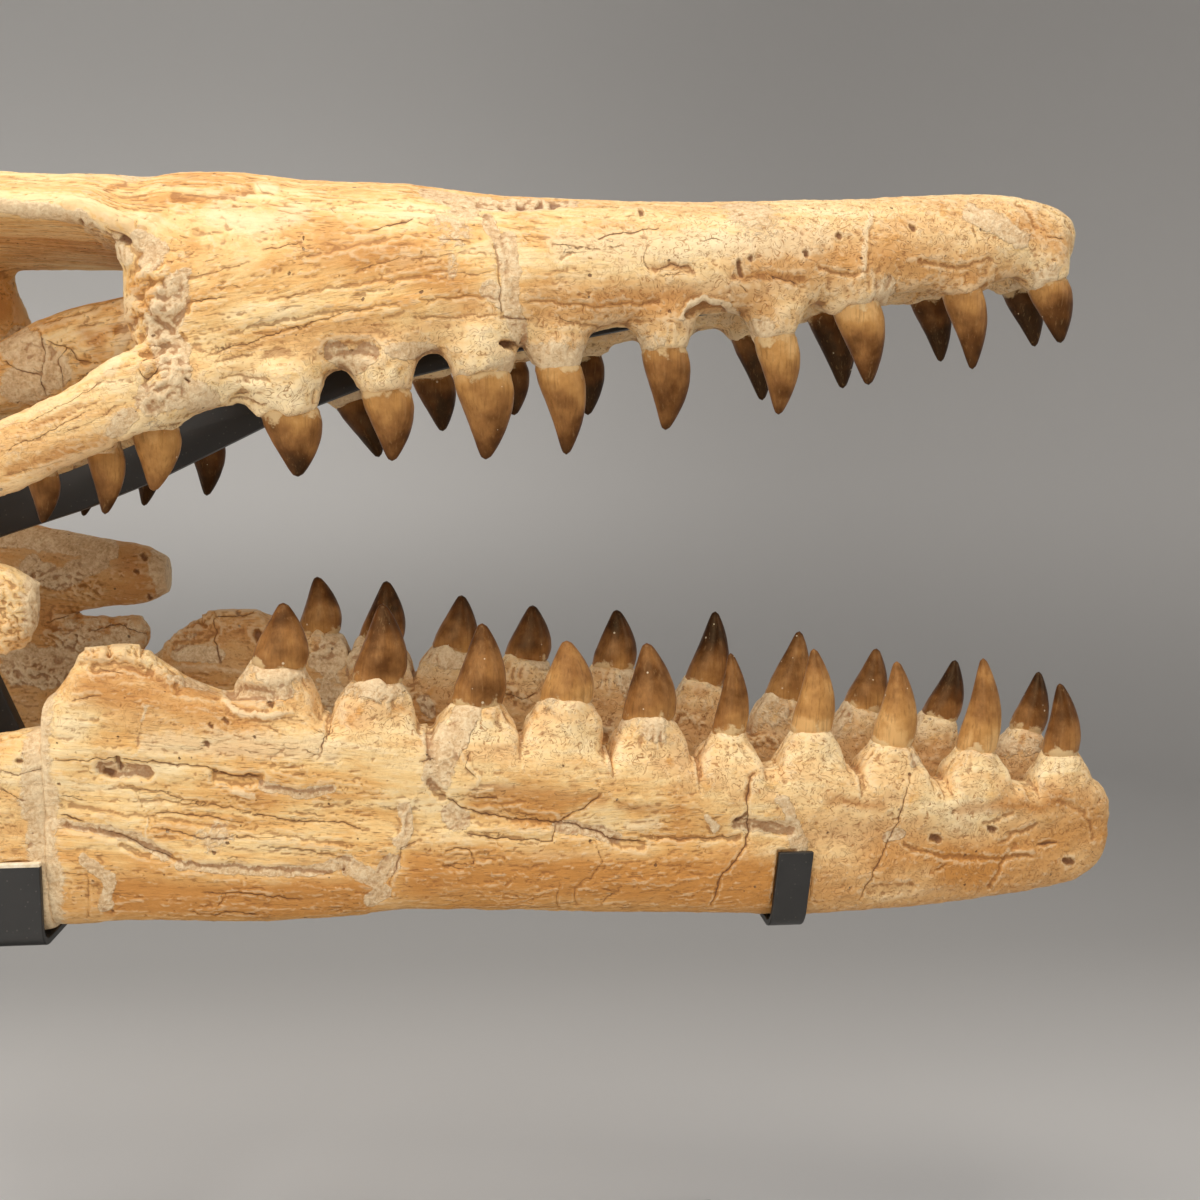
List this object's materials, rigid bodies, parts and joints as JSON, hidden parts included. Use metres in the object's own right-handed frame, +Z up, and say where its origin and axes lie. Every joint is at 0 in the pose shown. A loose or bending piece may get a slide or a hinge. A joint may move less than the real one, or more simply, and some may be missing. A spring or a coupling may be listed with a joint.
{
  "type": "fossil mosasaur skull",
  "caption": "Long-snouted fossil marine reptile skull with open toothed jaws, held by a dark steel post, bars and U-shaped straps on a flat base plate.",
  "frame": {"origin": "the middle of the base plate's underside, which rests on the floor", "axes": "+X along the skull to the snout's tip, +Y to the animal's left, +Z up"},
  "size_m": [1.1047, 0.3337, 0.7972],
  "materials": {
    "bone": "matt fibrous fossil bone with grey-brown matrix in its cracks",
    "enamel": "satin brown tooth enamel, darker to the tip",
    "steel": "satin black paint on flat steel strip"
  },
  "bodies": {
    "root": {"cranium": "bone", "dentary_right": "bone", "dentary_left": "bone", "rear_jaw_right": "bone", "rear_jaw_left": "bone", "quadrate_right": "bone", "quadrate_left": "bone", "upper_tooth_right_01": "enamel", "upper_tooth_right_02": "enamel", "upper_tooth_right_03": "enamel", "upper_tooth_right_04": "enamel", "upper_tooth_right_05": "enamel", "upper_tooth_right_06": "enamel", "upper_tooth_right_07": "enamel", "upper_tooth_right_08": "enamel", "upper_tooth_right_09": "enamel", "upper_tooth_right_10": "enamel", "upper_tooth_right_11": "enamel", "upper_tooth_right_12": "enamel", "upper_tooth_left_01": "enamel", "upper_tooth_left_02": "enamel", "upper_tooth_left_03": "enamel", "upper_tooth_left_04": "enamel", "upper_tooth_left_05": "enamel", "upper_tooth_left_06": "enamel", "upper_tooth_left_07": "enamel", "upper_tooth_left_08": "enamel", "upper_tooth_left_09": "enamel", "upper_tooth_left_10": "enamel", "upper_tooth_left_11": "enamel", "upper_tooth_left_12": "enamel", "upper_tooth_left_13": "enamel", "lower_tooth_right_01": "enamel", "lower_tooth_right_02": "enamel", "lower_tooth_right_03": "enamel", "lower_tooth_right_04": "enamel", "lower_tooth_right_05": "enamel", "lower_tooth_right_06": "enamel", "lower_tooth_right_07": "enamel", "lower_tooth_right_08": "enamel", "lower_tooth_right_09": "enamel", "lower_tooth_right_10": "enamel", "lower_tooth_left_01": "enamel", "lower_tooth_left_02": "enamel", "lower_tooth_left_03": "enamel", "lower_tooth_left_04": "enamel", "lower_tooth_left_05": "enamel", "lower_tooth_left_06": "enamel", "lower_tooth_left_07": "enamel", "lower_tooth_left_08": "enamel", "lower_tooth_left_09": "enamel", "lower_tooth_left_10": "enamel", "base_plate": "steel", "post": "steel", "jaw_bar": "steel", "strut": "steel", "palate_bar": "steel", "front_strap": "steel", "middle_strap": "steel", "rear_strap": "steel"}
  },
  "joints": []
}
